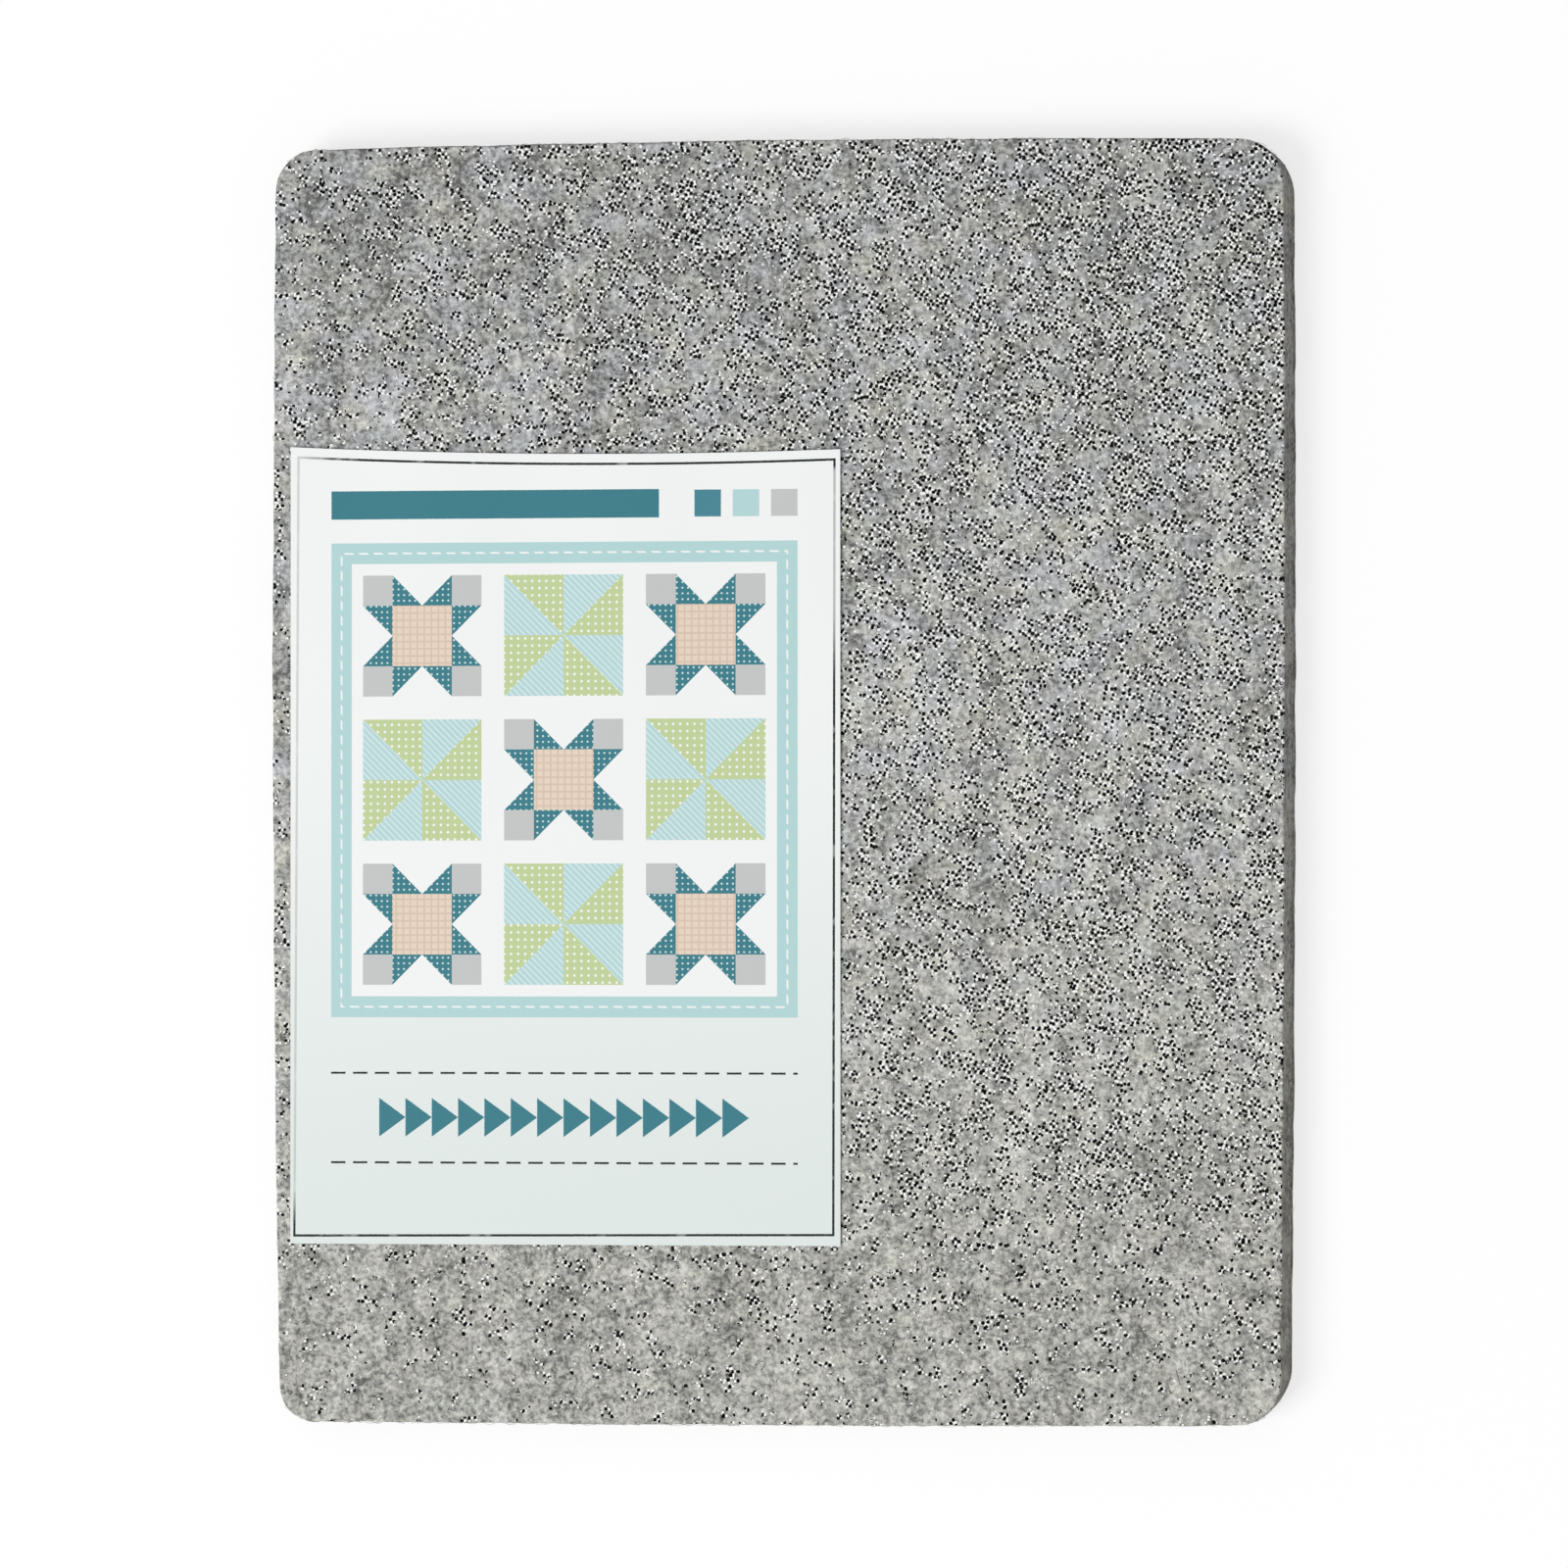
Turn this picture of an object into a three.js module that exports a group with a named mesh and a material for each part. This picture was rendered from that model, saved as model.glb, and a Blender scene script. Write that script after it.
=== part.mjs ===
// Thick wool felt ironing pad with the printed card that lies loose on it.
// Millimetres, +Z up. X runs along the pad's width and Y along its length. The origin is under the
// pad's centre, on the surface that the pad rests on.

import * as THREE from 'three';

// Felt pad: overall sizes, measured over the bowed edges at the foot of the cut
const padWidth = 345;
const padLength = 430;
const padThickness = 13;
const padCornerRadius = 16;

// Cut edge: the foot stands further out than the face, and both arrises are rubbed round
const cutDraft = 1.2;
const faceArris = 0.8;
const footArris = 0.8;

// How far the middle of each side stands out from its ends
const leftBow = 1.3;
const rightBow = 0.7;
const topBow = 1.2;
const bottomBow = 0.7;

// Printed card: its sheet, its place from the pad's left and bottom sides, and the nap under it
const cardWidth = 187.4;
const cardLength = 267.5;
const cardThickness = 0.3;
const cardTopSlant = 2.2;
const cardTopHollow = 1.9;
const cardFromLeft = 7.4;
const cardFromBottom = 60;
const napHeight = 0.3;

// Facets
const cornerSteps = 9;
const sideSteps = 16;
const arrisSteps = 4;

const rightAngle = Math.PI / 2;

// The pad seen from above, drawn in by inset: round corners joined by bowed sides, counterclockwise.
function padRing(inset) {
  const radius = padCornerRadius - inset;
  const left = -padWidth / 2 + leftBow + padCornerRadius;
  const right = padWidth / 2 - rightBow - padCornerRadius;
  const bottom = -padLength / 2 + bottomBow + padCornerRadius;
  const top = padLength / 2 - topBow - padCornerRadius;
  const corner = (x, y, turn) => new THREE.EllipseCurve(
    x, y, radius, radius, turn * rightAngle, (turn + 1) * rightAngle,
  );
  const side = (x0, y0, x1, y1, bow) => {
    const start = new THREE.Vector2(x0, y0);
    const end = new THREE.Vector2(x1, y1);
    const along = end.clone().sub(start).normalize();
    const outward = new THREE.Vector2(along.y, -along.x);
    const control = start.clone().lerp(end, 0.5).addScaledVector(outward, 2 * bow);
    return new THREE.QuadraticBezierCurve(start, control, end);
  };
  const corners = [
    corner(right, top, 0),
    corner(left, top, 1),
    corner(left, bottom, 2),
    corner(right, bottom, 3),
  ];
  const sides = [
    side(right, top + radius, left, top + radius, topBow),
    side(left - radius, top, left - radius, bottom, leftBow),
    side(left, bottom - radius, right, bottom - radius, bottomBow),
    side(right + radius, bottom, right + radius, top, rightBow),
  ];
  return corners.flatMap((arc, i) => [
    ...arc.getPoints(cornerSteps).slice(0, -1),
    ...sides[i].getPoints(sideSteps).slice(0, -1),
  ]);
}

// The pad's edge from the foot up: rounded foot, leaning cut, rounded arris at the face.
function padProfile() {
  const turns = Array.from({ length: arrisSteps + 1 }, (_, i) => (i / arrisSteps) * rightAngle);
  const foot = turns.map((turn) => ({
    inset: footArris * (1 - Math.sin(turn)),
    z: footArris * (1 - Math.cos(turn)),
  }));
  const face = turns.map((turn) => ({
    inset: cutDraft + faceArris * (1 - Math.cos(turn)),
    z: padThickness - faceArris * (1 - Math.sin(turn)),
  }));
  return [...foot, ...face];
}

// Closed body through the profile's rings, which all have the same number of points.
function loft(profile, ring) {
  const rings = profile.map(({ inset }) => ring(inset));
  const count = rings[0].length;
  const positions = rings.flatMap((points, r) => points.flatMap((p) => [p.x, p.y, profile[r].z]));
  const triangles = [];
  for (let r = 0; r + 1 < rings.length; r += 1) {
    for (let i = 0; i < count; i += 1) {
      const a = r * count + i;
      const b = r * count + ((i + 1) % count);
      triangles.push(a, b, b + count, a, b + count, a + count);
    }
  }
  const faceStart = (rings.length - 1) * count;
  for (const [a, b, c] of THREE.ShapeUtils.triangulateShape(rings[0], [])) {
    triangles.push(c, b, a);
  }
  for (const [a, b, c] of THREE.ShapeUtils.triangulateShape(rings.at(-1), [])) {
    triangles.push(faceStart + a, faceStart + b, faceStart + c);
  }
  const geometry = new THREE.BufferGeometry();
  geometry.setAttribute('position', new THREE.Float32BufferAttribute(positions, 3));
  geometry.setIndex(triangles);
  geometry.computeVertexNormals();
  return geometry;
}

// The card's sheet, from its lower left corner: its top edge is trimmed aslant and slightly hollow.
function cardOutline() {
  const outline = new THREE.Shape();
  outline.moveTo(0, 0);
  outline.lineTo(cardWidth, 0);
  outline.lineTo(cardWidth, cardLength - cardTopSlant);
  const topMiddle = cardLength - cardTopSlant / 2 - 2 * cardTopHollow;
  outline.quadraticCurveTo(cardWidth / 2, topMiddle, 0, cardLength);
  outline.closePath();
  return outline;
}

function feltPad() {
  const wool = new THREE.MeshStandardMaterial({ color: 0x9e9f9c, roughness: 0.95, metalness: 0 });
  const pad = new THREE.Mesh(loft(padProfile(), padRing), wool);
  pad.name = 'felt_pad';
  return pad;
}

function insertCard() {
  const paper = new THREE.MeshStandardMaterial({ color: 0xe6ebe9, roughness: 0.6, metalness: 0 });
  const sheet = new THREE.ExtrudeGeometry(cardOutline(), {
    depth: cardThickness,
    bevelEnabled: false,
    curveSegments: sideSteps,
  });
  const card = new THREE.Mesh(sheet, paper);
  card.name = 'insert_card';
  card.position.set(
    -padWidth / 2 + cardFromLeft,
    -padLength / 2 + cardFromBottom,
    padThickness + napHeight,
  );
  return card;
}

const ironingPad = new THREE.Group();
ironingPad.add(feltPad(), insertCard());

export default ironingPad;
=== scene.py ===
"""Looks of a thick wool felt ironing pad with the printed card that lies loose on it.

Everything is in metres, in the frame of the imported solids: X along the pad's width, Y along its length, Z
up. Materials measure in millimetres, and the card's print from the sheet's lower left corner.
"""

import math

import bpy
import numpy as np
from mathutils import Matrix, Vector, geometry, noise


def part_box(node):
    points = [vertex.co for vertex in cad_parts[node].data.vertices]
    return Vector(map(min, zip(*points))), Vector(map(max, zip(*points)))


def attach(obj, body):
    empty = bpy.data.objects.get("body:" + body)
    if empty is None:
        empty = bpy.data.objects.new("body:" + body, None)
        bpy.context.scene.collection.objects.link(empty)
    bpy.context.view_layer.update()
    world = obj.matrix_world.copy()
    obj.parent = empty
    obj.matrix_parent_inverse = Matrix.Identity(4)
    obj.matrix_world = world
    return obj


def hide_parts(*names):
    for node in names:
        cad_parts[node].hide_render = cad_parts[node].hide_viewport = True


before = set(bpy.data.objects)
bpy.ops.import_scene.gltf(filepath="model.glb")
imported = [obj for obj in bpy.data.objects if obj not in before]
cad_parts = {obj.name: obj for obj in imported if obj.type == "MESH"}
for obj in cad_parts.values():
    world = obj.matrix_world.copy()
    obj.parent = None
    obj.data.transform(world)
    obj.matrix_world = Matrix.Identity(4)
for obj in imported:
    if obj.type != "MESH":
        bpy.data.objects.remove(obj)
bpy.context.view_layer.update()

MM = 0.001

# Photograph: size of its frame and the camera that fits the pad's outline
PHOTO_PX = 1600
PX_PER_MM = 3.0506
CAMERA_DISTANCE = 3580 * MM
TILT_TO_RIGHT = math.radians(10.1)
TILT_TO_TOP = math.radians(-0.88)
ORIGIN_PX = (797.5, 797.1)
SENSOR = 36.0
CAMERA_REACH = 100.0

# Felt pad: its box, and its outline as cut. Corners run counterclockwise from the top right, each with how
# far it lies in from the box along x and y, its radius at the foot and how much tighter it turns at the
# face. Sides run counterclockwise from the top, each with how far its middle bows out and how far the cut
# leans in from foot to face.
PAD_LOW, PAD_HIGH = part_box("felt_pad")
PAD_CORNERS = np.array([
    (-0.7, 2.5, 19.5, 2.8),
    (1.7, 2.2, 14.5, 0),
    (3.4, 0.2, 12.0, 0),
    (0.5, 1.1, 20.6, 5.0),
]) * MM
SIDE_BOW = np.array([1.4, 1.6, 0.6, 0.7]) * MM
SIDE_DRAFT = np.array([0.4, 0.2, 0.3, 2.2]) * MM
FACE_ARRIS = 0.7 * MM
FOOT_ARRIS = 0.8 * MM

# Felt surface: its mesh, the hollows pressed into the face, and the uneven cut of the sides. A fractal is
# the increment, lacunarity and octaves of a noise.
FACE_SPACING = 1.7 * MM
FACE_RIM_GAP = 0.8 * FACE_SPACING
CORNER_STEPS = 13
ARRIS_RINGS = 6
CUT_RINGS = 8
FILL_INSIDE = 1
MERGE_DISTANCE = 1e-7
FACE_HOLLOW = 0.22 * MM
FACE_LUMP = 7 * MM
FACE_FRACTAL = (1.0, 2.0, 3)
SIDE_UNEVEN = 0.28 * MM
SIDE_LUMP = 16 * MM
SIDE_FRACTAL = (0.8, 2.0, 4)

# Felt flecks, in millimetres: the cells they are scattered in and the cosine and sine these are turned by,
# the way and distance from a dark dot to its pale specks, and where other noises are moved to differ
FLECK_PITCH = 1.6
FLECK_SCATTER = 0.9
FLECK_TURN = (0.86, 0.51)
SPECK_OFFSET = 1.05
SPECK_ANGLES = (35, 125, 215, 305)
SPECK_CHANCE = 0.2
BLUSH_SHIFT = (70, 240, 30)
CLUMP_SHIFT = (310, 170, 90)

# Loose fibres that stand off the felt. Lifts are shares of a fibre's own lift. Roots and reach are the
# heights between which the fibres of the sides start and stay.
FIBRE_SEED = 11
FACE_FIBRES = 3600
SIDE_FIBRES = 900
FIBRE_STEPS = 6
FIBRE_LENGTH = (2.5 * MM, 7.0 * MM)
FIBRE_RADIUS = (0.035 * MM, 0.07 * MM)
FIBRE_TAPER = 0.6
FIBRE_LIFT = (0.08 * MM, 0.3 * MM)
FIBRE_CURL = 320.0
STRAY_SHARE = 0.3
STRAY_LIFT = 4.0
COVERED_LIFT = 0.6
FACE_FIBRE_MARGIN = 6 * MM
SIDE_LIFT = 1.4
SIDE_STRAY_LIFT = 2.2
SIDE_FIBRE_SQUASH = (0.8, 0.35)
SIDE_FIBRE_ROOTS = (2.5 * MM, PAD_HIGH.z - 1.5 * MM)
SIDE_FIBRE_REACH = (0.6 * MM, PAD_HIGH.z - 0.8 * MM)

# Printed card: its box, the slant and hollow of its top edge, and the way it waves, with ripples across its
# top and one slow swell
CARD_LOW, CARD_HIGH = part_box("insert_card")
CARD_TOP_SLANT = 2.2 * MM
CARD_TOP_HOLLOW = 1.9 * MM
CARD_SPACING = 3 * MM
CARD_SHARP_ANGLE = math.radians(40)
CARD_WAVE = 0.3 * MM
CARD_WAVE_LENGTH = 62 * MM
CARD_WAVE_START = 1.1
CARD_SWELL_SHARE = 0.35
CARD_SWELL_ALONG = 0.7
CARD_SWELL_ACROSS = 0.4
CARD_SWELL_START = 0.6

# Stage: the floor, with the squared distances between which its shadow fades and its glow near the pad, the
# room's light as it falls on the object and as the camera sees it, and one soft light
FLOOR_HALF = 30.0
FLOOR_LEVEL = -0.05 * MM
FLOOR_FADE = (0.16, 1.2)
FLOOR_GLOW = 0.715
ROOM_LIGHT = 0.48
ROOM_SEEN = 1.0
KEY_SIZE = 5.0
KEY_ENERGY = 468.0
KEY_PLACE = (-4.8, -3.0, 6.0)

# Sockets of a mix node that mixes colours
MIX_SHARE, MIX_BASE, MIX_COLOUR, MIX_RESULT = 0, 6, 7, 2


def srgb(red, green, blue):
    """A colour read as 0 to 255, as the linear numbers that shaders take."""
    def linear(level):
        share = level / 255
        return share / 12.92 if share <= 0.04045 else ((share + 0.055) / 1.055) ** 2.4
    return (linear(red), linear(green), linear(blue), 1.0)


class Field:
    """A number that varies over a surface. Arithmetic on it adds nodes to its material."""

    def __init__(self, graph, socket):
        self.graph = graph
        self.socket = socket

    def __add__(self, other):
        return self.graph.math("ADD", self, other)

    def __sub__(self, other):
        return self.graph.math("SUBTRACT", self, other)

    def __rsub__(self, other):
        return self.graph.math("SUBTRACT", other, self)

    def __mul__(self, other):
        return self.graph.math("MULTIPLY", self, other)

    def __truediv__(self, other):
        return self.graph.math("DIVIDE", self, other)

    def __gt__(self, other):
        return self.graph.math("GREATER_THAN", self, other)

    def __lt__(self, other):
        return self.graph.math("LESS_THAN", self, other)

    def __abs__(self):
        return self.graph.math("ABSOLUTE", self)

    def fraction(self):
        return self.graph.math("FRACT", self)

    def floor(self):
        return self.graph.math("FLOOR", self)

    def least(self, other):
        return self.graph.math("MINIMUM", self, other)

    def most(self, other):
        return self.graph.math("MAXIMUM", self, other)

    def ease(self, low, high):
        """0 up to low, 1 from high on, smooth between. Low may lie above high."""
        node = self.graph.add("ShaderNodeMapRange", interpolation_type="SMOOTHSTEP")
        self.graph.feed(node.inputs["Value"], self)
        self.graph.feed(node.inputs["From Min"], min(low, high))
        self.graph.feed(node.inputs["From Max"], max(low, high))
        self.graph.feed(node.inputs["To Min"], 0.0 if low < high else 1.0)
        self.graph.feed(node.inputs["To Max"], 1.0 if low < high else 0.0)
        return Field(self.graph, node.outputs["Result"])


class Graph:
    """The node tree of one material, with one principled shader."""

    def __init__(self, name):
        self.material = bpy.data.materials.new(name)
        self.material.use_nodes = True
        self.tree = self.material.node_tree
        self.tree.nodes.clear()
        self.shader = self.add("ShaderNodeBsdfPrincipled")
        output = self.add("ShaderNodeOutputMaterial")
        self.tree.links.new(self.shader.outputs["BSDF"], output.inputs["Surface"])

    def add(self, kind, **settings):
        node = self.tree.nodes.new(kind)
        for name, value in settings.items():
            setattr(node, name, value)
        return node

    def feed(self, socket, value):
        if isinstance(value, Field):
            self.tree.links.new(value.socket, socket)
        elif isinstance(value, bpy.types.NodeSocket):
            self.tree.links.new(value, socket)
        else:
            socket.default_value = value

    def set(self, **values):
        """Sets or links the shader's sockets, named with _ for a space."""
        for name, value in values.items():
            self.feed(self.shader.inputs[name.replace("_", " ")], value)

    def math(self, operation, *values):
        node = self.add("ShaderNodeMath", operation=operation)
        for socket, value in zip(node.inputs, values):
            self.feed(socket, value)
        return Field(self, node.outputs["Value"])

    def vector(self, operation, *values):
        node = self.add("ShaderNodeVectorMath", operation=operation)
        vectors = [s for s in node.inputs if s.type == "VECTOR"]
        for socket, value in zip(vectors, values):
            self.feed(socket, value)
        return node.outputs["Vector"]

    def place(self):
        """The point on the piece in millimetres, which moves with the piece."""
        place = self.add("ShaderNodeTexCoord").outputs["Object"]
        return self.vector("DIVIDE", place, (MM, MM, MM))

    def facing(self):
        """The way the surface faces, as x, y and z, which turns with the piece."""
        return self.split(self.add("ShaderNodeTexCoord").outputs["Normal"])

    def split(self, vector):
        node = self.add("ShaderNodeSeparateXYZ")
        self.feed(node.inputs[0], vector)
        return [Field(self, socket) for socket in node.outputs]

    def join(self, x, y):
        node = self.add("ShaderNodeCombineXYZ")
        self.feed(node.inputs["X"], x)
        self.feed(node.inputs["Y"], y)
        return node.outputs["Vector"]

    def noise(self, place, size, detail=2.0, rough=0.5, stretch=(1, 1, 1), colour=False):
        """Cloudy noise with lumps about size millimetres across, stretched along the axes."""
        node = self.add("ShaderNodeTexNoise")
        self.feed(node.inputs["Vector"], self.vector("DIVIDE", place, stretch))
        self.feed(node.inputs["Scale"], 1 / size)
        self.feed(node.inputs["Detail"], detail)
        self.feed(node.inputs["Roughness"], rough)
        return node.outputs["Color"] if colour else Field(self, node.outputs["Fac"])

    def cells(self, place, size, scatter):
        """Scattered dots: the distance from the nearest, in cells, and three chances for each dot."""
        node = self.add("ShaderNodeTexVoronoi", voronoi_dimensions="2D")
        self.feed(node.inputs["Vector"], place)
        self.feed(node.inputs["Scale"], 1 / size)
        self.feed(node.inputs["Randomness"], scatter)
        chances = self.split(node.outputs["Color"])
        return Field(self, node.outputs["Distance"]), chances

    def mix(self, base, colour, share):
        node = self.add("ShaderNodeMix", data_type="RGBA")
        self.feed(node.inputs[MIX_SHARE], share)
        self.feed(node.inputs[MIX_BASE], base)
        self.feed(node.inputs[MIX_COLOUR], colour)
        return node.outputs[MIX_RESULT]

    def bump(self, height, distance, strength):
        node = self.add("ShaderNodeBump")
        self.feed(node.inputs["Height"], height)
        self.feed(node.inputs["Distance"], distance)
        self.feed(node.inputs["Strength"], strength)
        self.feed(self.shader.inputs["Normal"], node.outputs["Normal"])


def wool_felt():
    """Heather grey needled felt: matted fibres, pinkish and greenish patches, flecks, layered cut sides."""
    felt = Graph("wool_felt")
    place = felt.place()
    x, y, z = felt.split(place)
    wander = felt.noise(place, size=2.6, detail=2, colour=True)
    drift = felt.vector("SUBTRACT", wander, (0.5, 0.5, 0.5))
    bent = felt.vector("MULTIPLY_ADD", drift, (1.8, 1.8, 1.8), place)

    dark_wool = srgb(104, 105, 103)
    warm_pink, cool_pink = srgb(226, 219, 211), srgb(218, 214, 224)
    warm_green, cool_green = srgb(222, 227, 207), srgb(214, 222, 220)
    cut_wool, painted_foot_shade = srgb(126, 117, 106), srgb(40, 38, 36)
    fleck_black, speck_white = srgb(2, 3, 4), srgb(255, 255, 253)
    sheen = srgb(215, 214, 210)

    # Zones: plainer strip along the bottom, painted shade over the top, darker bottom left, cut sides
    plain = y.ease(-128, -156)
    upper_shade, top_end_shade = y.ease(20, 170), y.ease(130, 215)
    bottom_left = x.ease(40, -160) * y.ease(-120, -175)
    side = z.ease(12.9, 12.4) * z.ease(0.3, 0.9)

    # Tone from dark to pale wool: cloudy patches, streaks along the pad, matted grain and curled strands,
    # with flat layers and upright bands on the sides, which are painted darker towards their foot as shade
    patches = felt.noise(place, size=7, detail=5, rough=0.74)
    streaks = felt.noise(place, size=13, detail=2, stretch=(1, 4, 1)) - 0.5
    grain = felt.noise(bent, size=1.5, detail=2, rough=0.55)
    strands = abs((felt.noise(bent, size=3.4, detail=1) * 6).fraction() - 0.5)
    layers = felt.noise(bent, size=1.0, detail=3, rough=0.6, stretch=(7, 7, 1)) - 0.5
    bands = felt.noise(place, size=8, detail=3, rough=0.6, stretch=(1, 1, 6)) - 0.5
    # The upper half and the top end are painted darker as shade
    level = 0.505 - plain * 0.025 - upper_shade * 0.075 - top_end_shade * 0.065 - bottom_left * 0.03
    clouds = (streaks * 0.78 + (patches - 0.5) * 1.5) * (1 - plain * 0.12)
    tone = clouds + (grain - 0.5) * 1.95 + (0.25 - strands) * 0.3 + level
    # The sides' tone drops towards the floor: painted shade
    tone = tone + (layers * 2.0 + bands * 1.2 + 0.16 - z.ease(6, 0.6) * 0.25) * side

    # Colour: pinkish and greenish patches from warm to cool, browner sides, painted dark shade at their foot
    heather = (felt.noise(place, size=15, detail=4, rough=0.6) - 0.5) * (3.4 - y.ease(40, -170) * 2.6)
    tint = heather + y.ease(-190, 110) * 0.35 + 0.32
    blush = felt.noise(felt.vector("ADD", place, BLUSH_SHIFT), size=9, detail=3, rough=0.6)
    pink_wool = felt.mix(warm_pink, cool_pink, tint)
    green_wool = felt.mix(warm_green, cool_green, tint)
    pale_wool = felt.mix(green_wool, pink_wool, blush)
    wool = felt.mix(dark_wool, pale_wool, tone)
    wool = felt.mix(wool, cut_wool, side * 0.3)
    # Painted shade: dark patches low on the sides, where the pad meets the floor
    foot = felt.noise(place, size=5, detail=2, stretch=(1, 1, 3)).ease(0.5, 0.62) * z.ease(5.5, 1.5)
    wool = felt.mix(wool, painted_foot_shade, foot * side * 0.25)

    # Flecks in clumps, fewer to the left and along the bottom, more at the top right
    clumps = felt.noise(felt.vector("ADD", place, CLUMP_SHIFT), size=6.5, detail=3, rough=0.65)
    leftward, far_left = x.ease(60, -170), x.ease(-80, -165)
    bottom_end = y.ease(-175, -205)
    sparse = plain * 0.06 + leftward * (0.052 - plain * 0.03) + far_left * 0.02
    sparse = sparse + bottom_end * 0.03 - y.ease(70, 140) * (x.ease(40, 150) * 0.022 + 0.012)
    share = (clumps - sparse - side * 0.09).ease(0.39, 0.6) * (0.8 - plain * 0.17)

    # Their places: scattered cells, turned off the pad's axes and carried on down the sides. A fleck is a
    # dark dot with a pale speck or two beside it.
    across, along, _ = felt.facing()
    depth = z - PAD_HIGH.z / MM
    over = x + across * across * depth
    up = y + along * along * depth
    cosine, sine = FLECK_TURN
    turned = felt.join(over * cosine - up * sine, over * sine + up * cosine)
    shaken = felt.vector("MULTIPLY_ADD", drift, (0.9, 0.9, 0.9), turned)
    distance, chances = felt.cells(shaken, FLECK_PITCH, FLECK_SCATTER)
    flecked = chances[0] < share
    reach = distance / (chances[1] * 0.24 + 0.865 - share * 0.1 + plain * 0.1)
    dark = reach.ease(0.42, 0.385) * flecked * (1 - side * 0.55)
    for turn, angle in enumerate(SPECK_ANGLES):
        beside = Matrix.Rotation(math.radians(angle), 3, "Z") @ Vector((SPECK_OFFSET, 0, 0))
        gap, odds = felt.cells(felt.vector("ADD", shaken, tuple(beside)), FLECK_PITCH, FLECK_SCATTER)
        chosen = (odds[0] < share) * (abs(odds[2] - SPECK_CHANCE * (turn + 1)) < SPECK_CHANCE)
        pale = gap.ease(0.285, 0.235) * chosen * (1 - side * 0.8)
        wool = felt.mix(wool, speck_white, pale)
    wool = felt.mix(wool, fleck_black, dark)

    relief = strands.ease(0.3, 0.0) * 0.6 + grain + patches * 1.5
    felt.bump(relief, distance=0.15 * MM, strength=0.4)
    felt.set(Base_Color=wool, Roughness=0.95, Specular_IOR_Level=0.05)
    felt.set(Sheen_Weight=0.1, Sheen_Roughness=0.6, Sheen_Tint=sheen)
    return felt.material


def wool_fibre():
    """Loose wool fibres, from dark to nearly white."""
    fibre = Graph("wool_fibre")
    dark, grey, pale = srgb(62, 63, 64), srgb(150, 150, 147), srgb(222, 221, 216)
    chance = Field(fibre, fibre.add("ShaderNodeNewGeometry").outputs["Random Per Island"])
    wool = fibre.mix(grey, pale, chance.ease(0.45, 0.9))
    wool = fibre.mix(wool, dark, chance.ease(0.22, 0.16))
    fibre.set(Base_Color=wool, Roughness=0.8, Specular_IOR_Level=0.25)
    return fibre.material


def inside(u, v, left, bottom, right, top):
    return (u > left) * (u < right) * (v > bottom) * (v < top)


def dots(u, v, pitch, radius):
    """Rows of round dots."""
    across = (u / pitch).fraction() - 0.5
    along = (v / pitch).fraction() - 0.5
    return across * across + along * along < (radius / pitch) ** 2


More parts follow.
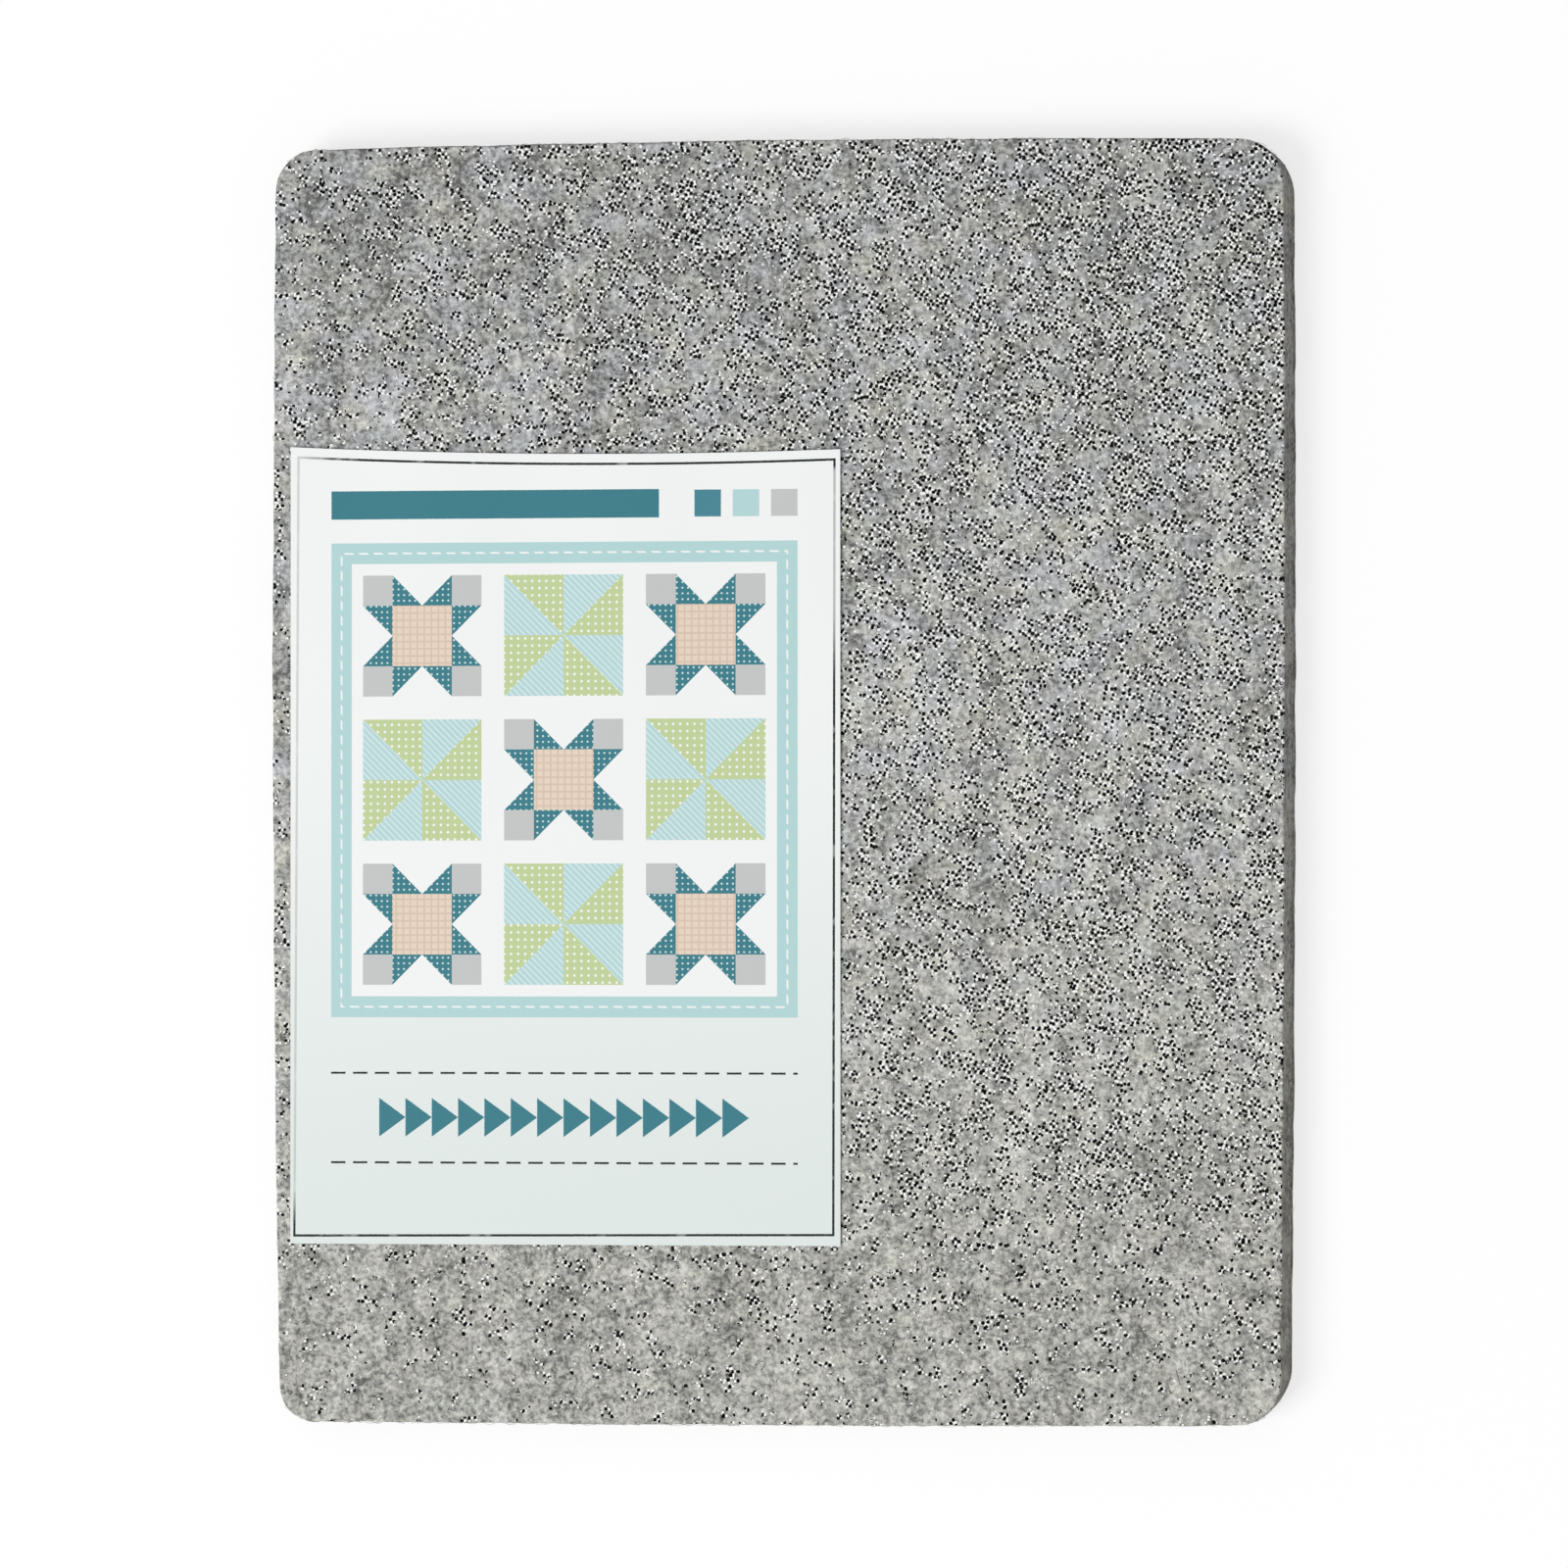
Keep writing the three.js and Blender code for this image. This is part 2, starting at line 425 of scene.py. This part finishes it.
def printed_paper():
    """White card with a generic print: quilt blocks in a pale frame, a bar, swatches and stitches."""
    card = Graph("printed_paper")
    place = card.place()
    x, y, z = card.split(place)
    spread = (card.noise(place, size=0.5, detail=1) - 0.5) * 0.16
    u = x - CARD_LOW.x / MM + spread
    v = y - CARD_LOW.y / MM + spread
    width = (CARD_HIGH.x - CARD_LOW.x) / MM
    length = (CARD_HIGH.y - CARD_LOW.y) / MM

    ink_black = srgb(18, 28, 31)
    ink_teal = srgb(53, 126, 139)
    ink_blue = srgb(67, 135, 152)
    ink_aqua = srgb(183, 218, 219)
    ink_mist = srgb(214, 234, 236)
    ink_grey = srgb(199, 202, 201)
    ink_beige = srgb(234, 216, 198)
    ink_tan = srgb(211, 185, 163)
    ink_green = srgb(197, 214, 158)
    white = srgb(247, 249, 248)
    paper_foot, paper_top, paper_back = srgb(228, 236, 234), srgb(246, 249, 248), srgb(232, 235, 233)

    paper = card.mix(paper_foot, paper_top, v.ease(0, 200))

    # Keyline near the edges, a little askew, worn thin along the left and high on the right
    line_width = 0.8
    share = u / width
    top_edge = length - share * (CARD_TOP_SLANT / MM) - share * (1 - share) * (4 * CARD_TOP_HOLLOW / MM)
    from_left = u - v * (1.3 / length) - 1.0
    from_right = width - u + v * (0.5 / length) - 2.0
    from_bottom = v - share - 2.3
    from_top = top_edge - v - 2.95
    margin = from_left.least(from_right).least(from_bottom).least(from_top)
    keyline = (margin > 0) * (margin < line_width)
    kept = share.ease(0.0, 0.1).most(v.ease(20, 5)) * 0.75 + 0.25
    kept = kept * (1 - (share > 0.95) * v.ease(185, 215) * v.ease(260, 258) * 0.55)
    inked = card.noise(place, size=7, detail=2).ease(0.3, 0.45) * 0.3 + 0.7
    paper = card.mix(paper, ink_black, keyline * kept * inked)

    # Bar and three square swatches along the top
    paper = card.mix(paper, ink_teal, inside(u, v, left=14, bottom=243, right=126, top=252.5))
    for start, ink in ((138, ink_blue), (151, ink_aqua), (164, ink_grey)):
        swatch = inside(u, v, left=start, bottom=243.2, right=start + 9, top=252.2)
        paper = card.mix(paper, ink, swatch)

    # Pale frame round a panel of quilt blocks, with a line of white stitches on the frame
    left, bottom, side, rim = 14.0, 76.0, 159.0, 7.0
    stitch_half, stitch_pitch, stitch_share = 0.3, 5, 0.62
    depth = (u - left).least(left + side - u).least((v - bottom).least(bottom + side - v))
    paper = card.mix(paper, ink_aqua, depth > 0)
    stitch = (abs(depth - rim / 2) < stitch_half) * (((u + v) / stitch_pitch).fraction() < stitch_share)
    paper = card.mix(paper, white, stitch)
    field = depth > rim
    paper = card.mix(paper, white, field)
    blocks, block_reach = 3, 0.42
    block = (side - 2 * rim) / blocks
    p = (u - (left + rim)) / block
    q = (v - (bottom + rim)) / block
    odd = ((p.floor() + q.floor()) / 2).fraction() > 0.25
    across = p.fraction() - 0.5
    along = q.fraction() - 0.5
    pieced = field * (abs(across) < block_reach) * (abs(along) < block_reach)

    # Star blocks: a checked centre square with a pair of dotted points on each side
    check_pitch, check_share = 2.4, 0.25
    a = abs(across) / (block_reach / 2)
    b = abs(along) / (block_reach / 2)
    near = a.least(b)
    far = a.most(b)
    centre = far < 1
    points = (near < 1) * (far > 1) * (near > far - 1)
    star = pieced * (1 - odd)
    columns, rows = (u / check_pitch).fraction(), (v / check_pitch).fraction()
    check = (columns < check_share).most(rows < check_share)
    paper = card.mix(paper, ink_grey, star * (near > 1))
    paper = card.mix(paper, ink_teal, star * points)
    paper = card.mix(paper, ink_mist, star * points * dots(u, v, pitch=1.9, radius=0.34))
    paper = card.mix(paper, ink_beige, star * centre)
    paper = card.mix(paper, ink_tan, star * centre * check * 0.6)

    # Pinwheel blocks: eight triangles by turns striped and dotted
    stripe_pitch, stripe_share = 2.2, 0.4
    turn = card.math("ARCTAN2", along, across) * (2 / math.pi)
    sail = (turn + 4).fraction() < 0.5
    wheel = pieced * odd
    stripe = ((u + v) / stripe_pitch).fraction() < stripe_share
    paper = card.mix(paper, ink_aqua, wheel)
    paper = card.mix(paper, ink_mist, wheel * stripe)
    paper = card.mix(paper, ink_green, wheel * sail)
    paper = card.mix(paper, white, wheel * sail * dots(u, v, pitch=2.4, radius=0.45))

    # A row of triangles between two lines of running stitch
    triangles, pitch = 14, 9.0
    row_left, row_bottom, row_height = 30.5, 36.0, 13.0
    dash_pitch, dash_share, dash_width = 7.5, 0.66, 0.7
    row = inside(u, v, row_left, row_bottom, row_left + triangles * pitch, row_bottom + row_height)
    step = ((u - row_left) / pitch).fraction()
    slope = 1 - abs((v - row_bottom) / row_height * 2 - 1)
    paper = card.mix(paper, ink_teal, row * (step < slope))
    for height in (row_bottom - 9, row_bottom + row_height + 8):
        line = inside(u, v, left, height, left + side, height + dash_width)
        dash = ((u - left) / dash_pitch).fraction() < dash_share
        paper = card.mix(paper, ink_black, line * dash)

    face = z > (CARD_LOW.z + CARD_HIGH.z) / 2 / MM
    paper = card.mix(paper_back, paper, face)
    grain = card.noise(place, size=0.7, detail=2)
    card.bump(grain, distance=0.02 * MM, strength=0.25)
    card.set(Base_Color=paper, Roughness=0.5, Specular_IOR_Level=0.35)
    return card.material


def pad_ring(height, rounding):
    """The pad's outline seen from above at a share of its height, drawn in by rounding, counterclockwise."""
    inset = SIDE_DRAFT * height + rounding
    size = PAD_HIGH - PAD_LOW
    starts, ends, arcs = [], [], []
    for turn, (in_x, in_y, radius, tighter) in enumerate(PAD_CORNERS):
        right, top = turn in (0, 3), turn in (0, 1)
        side_x, side_y = inset[3 if right else 1], inset[0 if top else 2]
        radius = radius - (side_x + side_y) / 2 - tighter * height
        x = PAD_HIGH.x - in_x - side_x - radius if right else PAD_LOW.x + in_x + side_x + radius
        y = PAD_HIGH.y - in_y - side_y - radius if top else PAD_LOW.y + in_y + side_y + radius
        angles = (turn + np.arange(CORNER_STEPS + 1) / CORNER_STEPS) * math.pi / 2
        arc = np.stack([x + radius * np.cos(angles), y + radius * np.sin(angles)], 1)
        starts.append(arc[-1])
        ends.append(arc[0])
        arcs.append(arc[:-1])
    ring = []
    for turn in range(4):
        start, end = starts[turn], ends[(turn + 1) % 4]
        steps = round((size.y if turn % 2 else size.x) / FACE_SPACING)
        share = (np.arange(steps) / steps)[:, None]
        run = end - start
        outward = np.array([run[1], -run[0]]) / np.linalg.norm(run)
        ring += [arcs[turn], start + share * run + 4 * SIDE_BOW[turn] * share * (1 - share) * outward]
    return np.concatenate(ring)


def pad_profile():
    """Rings up the edge as share of height, rounding and height: round foot, leaning cut, round arris."""
    turns = np.linspace(0, math.pi / 2, ARRIS_RINGS)
    tall = PAD_HIGH.z
    foot = [(FOOT_ARRIS * (1 - math.sin(t)), FOOT_ARRIS * (1 - math.cos(t))) for t in turns[::2]]
    face = [(FACE_ARRIS * (1 - math.cos(t)), tall - FACE_ARRIS * (1 - math.sin(t))) for t in turns]
    cut = np.linspace(foot[-1], face[0], CUT_RINGS)[1:-1]
    return [(z / tall, rounding, z) for rounding, z in [*foot, *map(tuple, cut), *face]]


def face_hollow(x, y):
    """How far the felt's face lies under its highest level at a point."""
    lumps = noise.fractal(Vector((x, y, 0)) / FACE_LUMP, *FACE_FRACTAL)
    return FACE_HOLLOW * min(1.0, max(0.0, 0.5 - 0.6 * lumps))


def new_piece(name, points, faces, material):
    mesh = bpy.data.meshes.new(name)
    mesh.from_pydata([tuple(p) for p in points], [], faces)
    mesh.materials.append(material)
    mesh.shade_smooth()
    mesh.update()
    piece = bpy.data.objects.new(name, mesh)
    bpy.context.scene.collection.objects.link(piece)
    return piece


def inner_points(fence):
    """Staggered rows of points inside a closed outline."""
    x0, y0 = fence.T
    x1, y1 = np.roll(fence, -1, 0).T
    points = []
    for i, y in enumerate(np.arange(y0.min(), y0.max(), FACE_SPACING * math.sqrt(3) / 2)):
        cut = (y0 > y) != (y1 > y)
        if cut.any():
            ends = x0[cut] + (y - y0[cut]) * (x1[cut] - x0[cut]) / (y1[cut] - y0[cut])
            x = np.arange(ends.min() + (i % 2) * FACE_SPACING / 2, ends.max(), FACE_SPACING)
            points.append(np.stack([x, np.full(len(x), y)], 1))
    return np.concatenate(points)


def felt_slab(material):
    """The slab: a ring for each step up its edge, with its face and its foot filled in."""
    profile = pad_profile()
    rings = [pad_ring(height, rounding) for height, rounding, _ in profile]
    count = len(rings[0])
    walls = []
    for ring, (_, _, z) in zip(rings, profile):
        along = np.roll(ring, -1, 0) - np.roll(ring, 1, 0)
        outward = np.stack([along[:, 1], -along[:, 0]], 1)
        outward /= np.linalg.norm(outward, axis=1)[:, None]
        for point, out in zip(ring, outward):
            uneven = noise.fractal(Vector((*point, z)) / SIDE_LUMP, *SIDE_FRACTAL)
            moved = point + out * SIDE_UNEVEN * uneven
            walls.append((*moved, z))
    faces = []
    for r in range(len(rings) - 1):
        for i in range(count):
            j = (i + 1) % count
            a, b = r * count + i, r * count + j
            faces.append((a, b, b + count, a + count))
    faces.append(tuple(range(count))[::-1])

    rim = [Vector(p[:2]) for p in walls[-count:]]
    grid = [Vector(p) for p in inner_points(pad_ring(1, FACE_ARRIS + FACE_RIM_GAP))]
    loop = list(range(count))
    filled = geometry.delaunay_2d_cdt(rim + grid, [], [loop], FILL_INSIDE, MERGE_DISTANCE)
    flat, _, triangles, origin, _, _ = filled
    start = len(walls) - count
    place = [start + source[0] if source and source[0] < count else None for source in origin]
    points = list(walls)
    for k, point in enumerate(flat):
        if place[k] is None:
            place[k] = len(points)
            points.append((point.x, point.y, PAD_HIGH.z - face_hollow(point.x, point.y)))
    faces.extend(tuple(place[k] for k in triangle) for triangle in triangles)
    return new_piece("felt_slab", points, faces, material)


def fibre_tubes(paths, radii):
    """Closed three-sided tubes along paths, an array of fibres by points by x, y and z."""
    along = np.gradient(paths, axis=1)
    along /= np.linalg.norm(along, axis=2, keepdims=True)
    up = np.broadcast_to(np.array([0.0, 0.0, 1.0]), along.shape)
    across = np.cross(along, up)
    across /= np.linalg.norm(across, axis=2, keepdims=True)
    over = np.cross(across, along)
    fibres, steps, _ = paths.shape
    taper = 1 - FIBRE_TAPER * np.abs(np.linspace(-1, 1, steps)) ** 3
    corners = []
    for corner in range(3):
        angle = corner * 2 * math.pi / 3 + math.pi / 2
        reach = radii[:, None] * taper[None, :]
        corners.append(paths + reach[..., None] * (math.cos(angle) * across + math.sin(angle) * over))
    points = np.stack(corners, 2).reshape(-1, 3)
    faces = []
    for f in range(fibres):
        base = f * steps * 3
        for s in range(steps - 1):
            for c in range(3):
                a, b = base + s * 3 + c, base + s * 3 + (c + 1) % 3
                faces.append((a, b, b + 3, a + 3))
        end = base + (steps - 1) * 3
        faces.append((base + 2, base + 1, base))
        faces.append((end, end + 1, end + 2))
    return points, faces


def curled(rng, count):
    """Flat curled paths that start at 0, 0: an array of count by points by x and y."""
    lengths = rng.uniform(*FIBRE_LENGTH, count)
    heading = rng.uniform(0, 2 * math.pi, count)
    curl = rng.normal(0, FIBRE_CURL, count)
    twist = rng.normal(0, FIBRE_CURL, count)
    step = lengths / FIBRE_STEPS
    path = np.zeros((count, FIBRE_STEPS + 1, 2))
    for s in range(FIBRE_STEPS):
        path[:, s + 1, 0] = path[:, s, 0] + step * np.cos(heading)
        path[:, s + 1, 1] = path[:, s, 1] + step * np.sin(heading)
        heading = heading + step * (curl + twist * (s / FIBRE_STEPS - 0.5))
    return path


def felt_nap(material):
    """Loose fibres: most lie on the face, some stand out from the cut sides."""
    rng = np.random.default_rng(FIBRE_SEED)
    arch = np.sin(np.linspace(0, math.pi, FIBRE_STEPS + 1))

    low = np.array(PAD_LOW[:2]) + FACE_FIBRE_MARGIN
    high = np.array(PAD_HIGH[:2]) - FACE_FIBRE_MARGIN
    flat = curled(rng, FACE_FIBRES) + rng.uniform(low, high, (FACE_FIBRES, 2))[:, None, :]
    flat = np.clip(flat, low, high)
    covered = ((flat > np.array(CARD_LOW[:2])) & (flat < np.array(CARD_HIGH[:2]))).all(2).any(1)
    stray = ~covered & (rng.random(FACE_FIBRES) < STRAY_SHARE)
    spring = np.where(stray, STRAY_LIFT, np.where(covered, COVERED_LIFT, 1.0))
    lift = (rng.uniform(*FIBRE_LIFT, FACE_FIBRES) * spring)[:, None] * arch
    drop = np.array([[face_hollow(x, y) for x, y in path] for path in flat])
    on_face = np.concatenate([flat, (PAD_HIGH.z - drop + lift)[..., None]], 2)

    foot, face = pad_ring(0, 0), pad_ring(1, 0)
    spots = rng.integers(0, len(foot), SIDE_FIBRES)
    along = np.roll(foot, -1, 0) - np.roll(foot, 1, 0)
    along /= np.linalg.norm(along, axis=1)[:, None]
    outward = np.stack([along[:, 1], -along[:, 0]], 1)
    path = curled(rng, SIDE_FIBRES) * np.array(SIDE_FIBRE_SQUASH)
    height = rng.uniform(*SIDE_FIBRE_ROOTS, SIDE_FIBRES)
    rise = np.clip(height[:, None] + path[..., 1], *SIDE_FIBRE_REACH)[..., None]
    share = rise / PAD_HIGH.z
    sides = foot[spots][:, None, :] * (1 - share) + face[spots][:, None, :] * share
    stray = rng.random(SIDE_FIBRES) < STRAY_SHARE
    spring = np.where(stray, SIDE_STRAY_LIFT, SIDE_LIFT)
    out = (rng.uniform(*FIBRE_LIFT, SIDE_FIBRES) * spring)[:, None] * arch
    sides = sides + path[..., :1] * along[spots][:, None, :] + out[..., None] * outward[spots][:, None, :]
    on_side = np.concatenate([sides, rise], 2)

    paths = np.concatenate([on_face, on_side])
    points, faces = fibre_tubes(paths, rng.uniform(*FIBRE_RADIUS, len(paths)))
    return new_piece("felt_nap", points, faces, material)


def card_wave(u, v):
    """How far the card stands off the felt at shares u and v of its width and length."""
    width = CARD_HIGH.x - CARD_LOW.x
    ripple = 0.5 + 0.5 * math.cos(2 * math.pi * u * width / CARD_WAVE_LENGTH + CARD_WAVE_START)
    turns = CARD_SWELL_ALONG * v + CARD_SWELL_ACROSS * u
    swell = 0.5 + 0.5 * math.cos(2 * math.pi * turns + CARD_SWELL_START)
    return CARD_WAVE * (ripple * v ** 3 + CARD_SWELL_SHARE * swell)


def card_sheet(material):
    """The card: a thin sheet on a fine grid, with a slanting, hollow top edge and slight waves."""
    size = CARD_HIGH - CARD_LOW
    columns, rows = round(size.x / CARD_SPACING), round(size.y / CARD_SPACING)
    points = []
    for z in (CARD_LOW.z, CARD_HIGH.z):
        for r in range(rows + 1):
            for c in range(columns + 1):
                u, v = c / columns, r / rows
                drop = (CARD_TOP_SLANT * u + 4 * CARD_TOP_HOLLOW * u * (1 - u)) * v ** 2
                place = (CARD_LOW.x + u * size.x, CARD_LOW.y + v * size.y - drop)
                points.append((*place, z + card_wave(u, v)))
    layer = (rows + 1) * (columns + 1)
    faces = []
    for r in range(rows):
        for c in range(columns):
            a = r * (columns + 1) + c
            b = a + columns + 1
            faces.append((a, b, b + 1, a + 1))
            faces.append((layer + a, layer + a + 1, layer + b + 1, layer + b))
    rim = list(range(columns))
    rim += [r * (columns + 1) + columns for r in range(rows)]
    rim += [rows * (columns + 1) + c for c in range(columns, 0, -1)]
    rim += [r * (columns + 1) for r in range(rows, 0, -1)]
    for a, b in zip(rim, rim[1:] + rim[:1]):
        faces.append((a, b, layer + b, layer + a))
    card = new_piece("printed_card", points, faces, material)
    card.data.set_sharp_from_angle(angle=CARD_SHARP_ANGLE)
    return card


def white_floor():
    """A pale floor that reads as white to the camera, with the pad's shadow near the pad."""
    floor = Graph("white_floor")
    x, y, _ = floor.split(floor.add("ShaderNodeTexCoord").outputs["Object"])
    beyond = (x * x + y * y).ease(*FLOOR_FADE)
    tint = floor.mix((0.3, 0.3, 0.3, 1.0), (0.0, 0.0, 0.0, 1.0), beyond)
    floor.set(Base_Color=tint, Roughness=0.9, Specular_IOR_Level=0.0)
    rays = floor.add("ShaderNodeLightPath").outputs
    seen = Field(floor, rays["Is Camera Ray"]).most(Field(floor, rays["Is Glossy Ray"]))
    seen = seen.most(Field(floor, rays["Is Transmission Ray"]))
    glow = beyond * (1 - FLOOR_GLOW) + FLOOR_GLOW
    floor.set(Emission_Color=(1.0, 1.0, 1.0, 1.0), Emission_Strength=seen * glow)
    signs = ((-1, -1), (1, -1), (1, 1), (-1, 1))
    corners = [(across * FLOOR_HALF, along * FLOOR_HALF, FLOOR_LEVEL) for across, along in signs]
    new_piece("floor", corners, [(0, 1, 2, 3)], floor.material)


def studio_light():
    """A white room and one large soft light from the lower left, at a plain level."""
    world = bpy.data.worlds.new("studio")
    bpy.context.scene.world = world
    world.use_nodes = True
    tree = world.node_tree
    background = tree.nodes["Background"]
    rays = tree.nodes.new("ShaderNodeLightPath")
    level = tree.nodes.new("ShaderNodeMapRange")
    tree.links.new(rays.outputs["Is Camera Ray"], level.inputs["Value"])
    level.inputs["To Min"].default_value = ROOM_LIGHT
    level.inputs["To Max"].default_value = ROOM_SEEN
    tree.links.new(level.outputs["Result"], background.inputs["Strength"])
    background.inputs["Color"].default_value = (1.0, 1.0, 1.0, 1.0)

    data = bpy.data.lights.new("soft_key", "AREA")
    data.shape = "DISK"
    data.size = KEY_SIZE
    data.energy = KEY_ENERGY
    key = bpy.data.objects.new("soft_key", data)
    bpy.context.scene.collection.objects.link(key)
    key.location = KEY_PLACE
    key.rotation_euler = (-Vector(key.location)).to_track_quat("-Z", "Y").to_euler()


def photo_camera():
    """The camera that fits the photograph: almost straight above, tilted a little to the right."""
    back = Vector((math.sin(TILT_TO_RIGHT), math.sin(TILT_TO_TOP), 0))
    back.z = math.sqrt(1 - back.length_squared)
    up = (Vector((0, 1, 0)) - back * back.y).normalized()
    right = up.cross(back)
    px = MM / PX_PER_MM
    aim = right * (PHOTO_PX / 2 - ORIGIN_PX[0]) * px + up * (ORIGIN_PX[1] - PHOTO_PX / 2) * px
    data = bpy.data.cameras.new("photo_camera")
    data.sensor_width = SENSOR
    data.lens = SENSOR * CAMERA_DISTANCE / (PHOTO_PX * px)
    data.clip_end = CAMERA_REACH
    camera = bpy.data.objects.new("photo_camera", data)
    bpy.context.scene.collection.objects.link(camera)
    turned = Matrix((right, up, back)).transposed().to_4x4()
    camera.matrix_world = Matrix.Translation(aim + back * CAMERA_DISTANCE) @ turned
    bpy.context.scene.camera = camera


slab = felt_slab(wool_felt())
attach(slab, "pad")
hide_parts("felt_pad")

nap = felt_nap(wool_fibre())
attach(nap, "pad")

card = card_sheet(printed_paper())
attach(card, "card")
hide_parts("insert_card")

white_floor()
studio_light()
photo_camera()
bpy.context.scene.view_settings.view_transform = "Standard"
